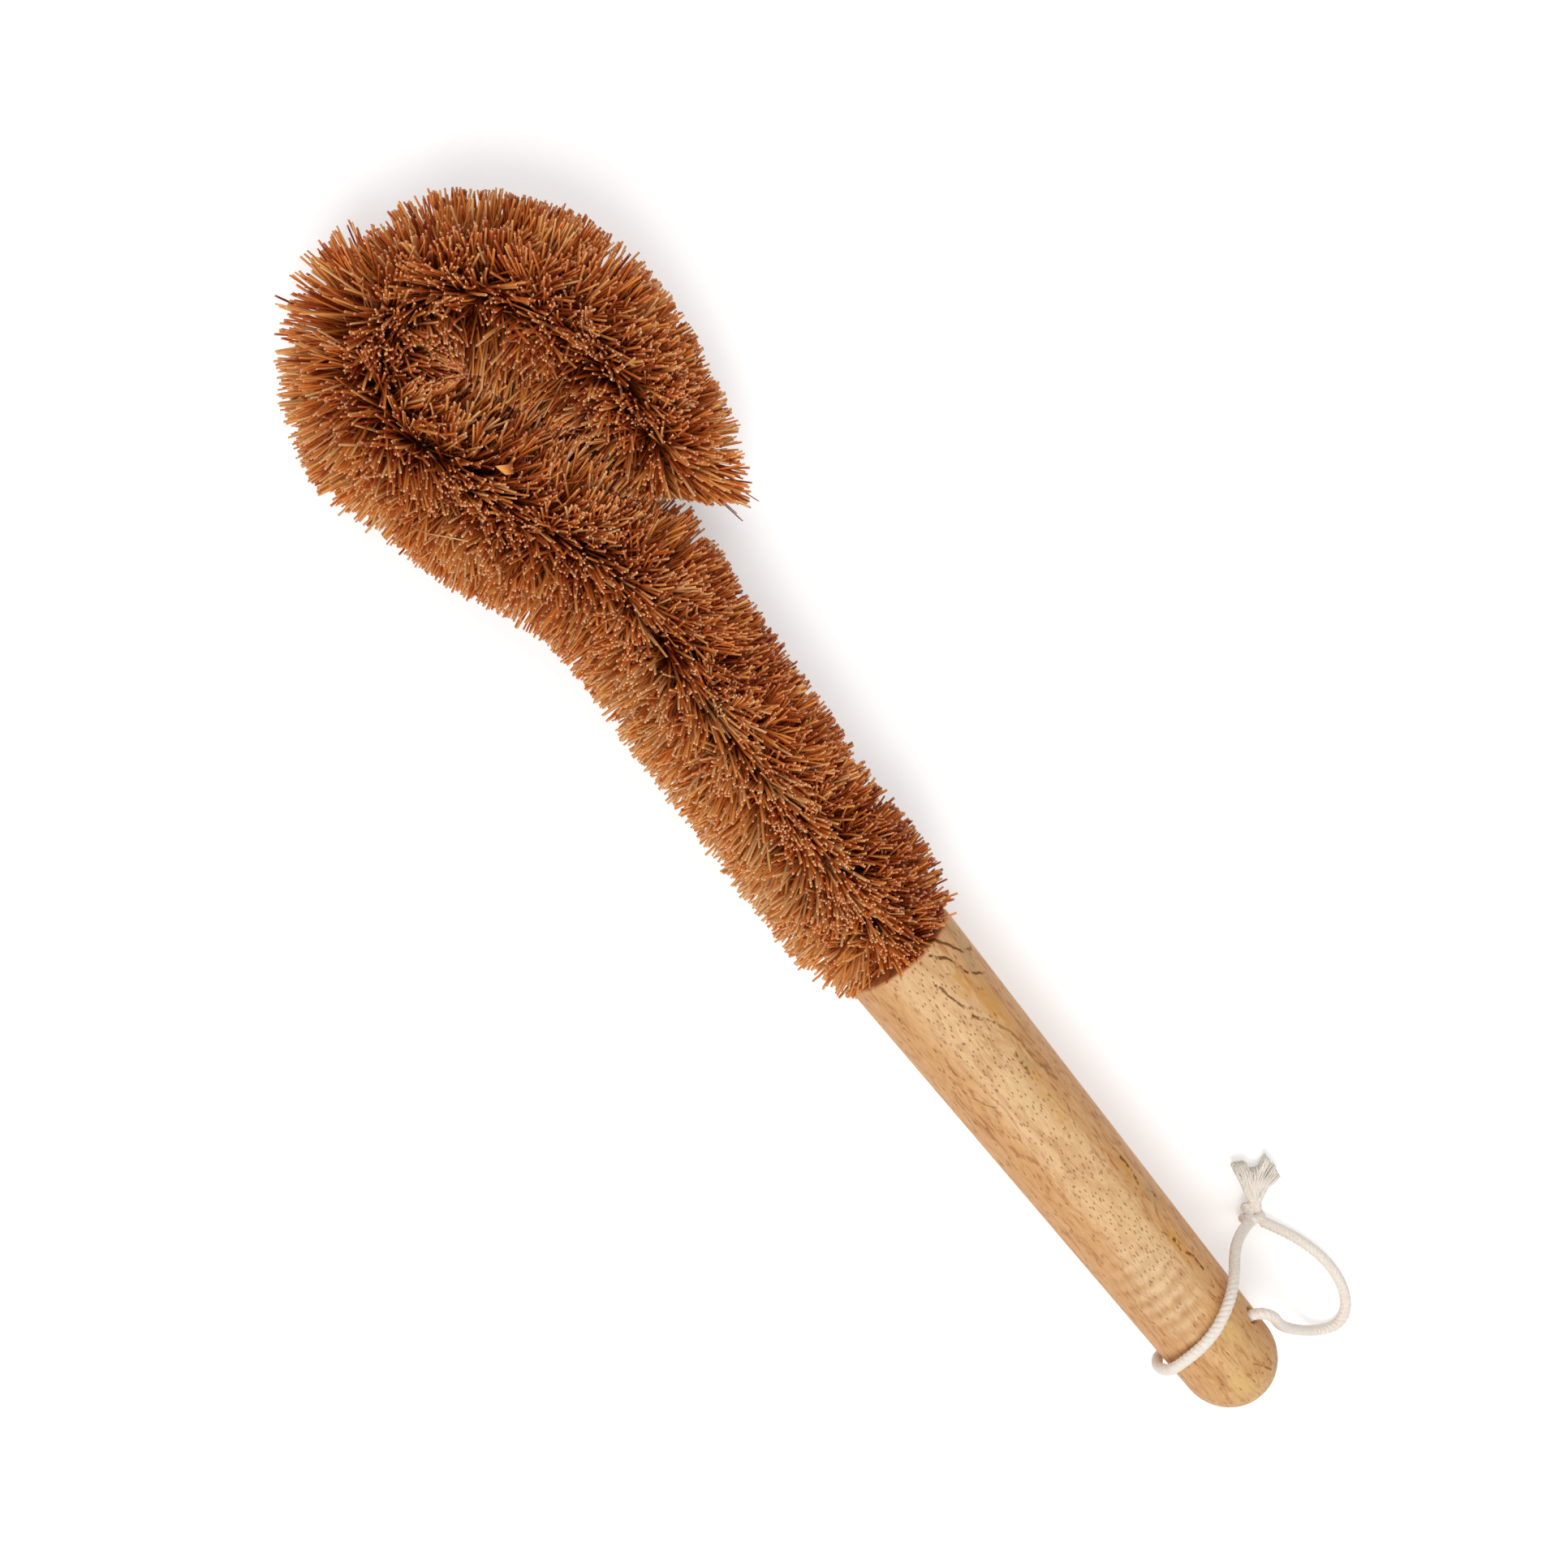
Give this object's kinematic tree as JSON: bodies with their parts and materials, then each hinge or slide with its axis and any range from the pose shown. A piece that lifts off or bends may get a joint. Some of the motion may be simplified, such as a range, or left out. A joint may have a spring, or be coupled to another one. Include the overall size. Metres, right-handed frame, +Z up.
{
  "type": "coir bottle brush",
  "caption": "Curled-head scrubbing brush of coconut fibre twisted in wire, with a round wooden handle and a knotted cotton hanging cord.",
  "frame": {"origin": "on the floor under the middle of the brush's box, measured without the cord", "axes": "+X from the handle towards the head, +Z up; the head curls to the brush's right, towards -Y"},
  "size_m": [0.3131, 0.0708, 0.0348],
  "materials": {
    "handle": "satin",
    "twisted_wire": "galvanised",
    "coir_bristles": "matte natural fibre",
    "cord": "matte cotton"
  },
  "bodies": {
    "root": {"handle": "handle", "twisted_wire": "twisted_wire", "coir_bristles": "coir_bristles", "hanging_cord": "cord", "cord_knot": "cord"}
  },
  "joints": []
}
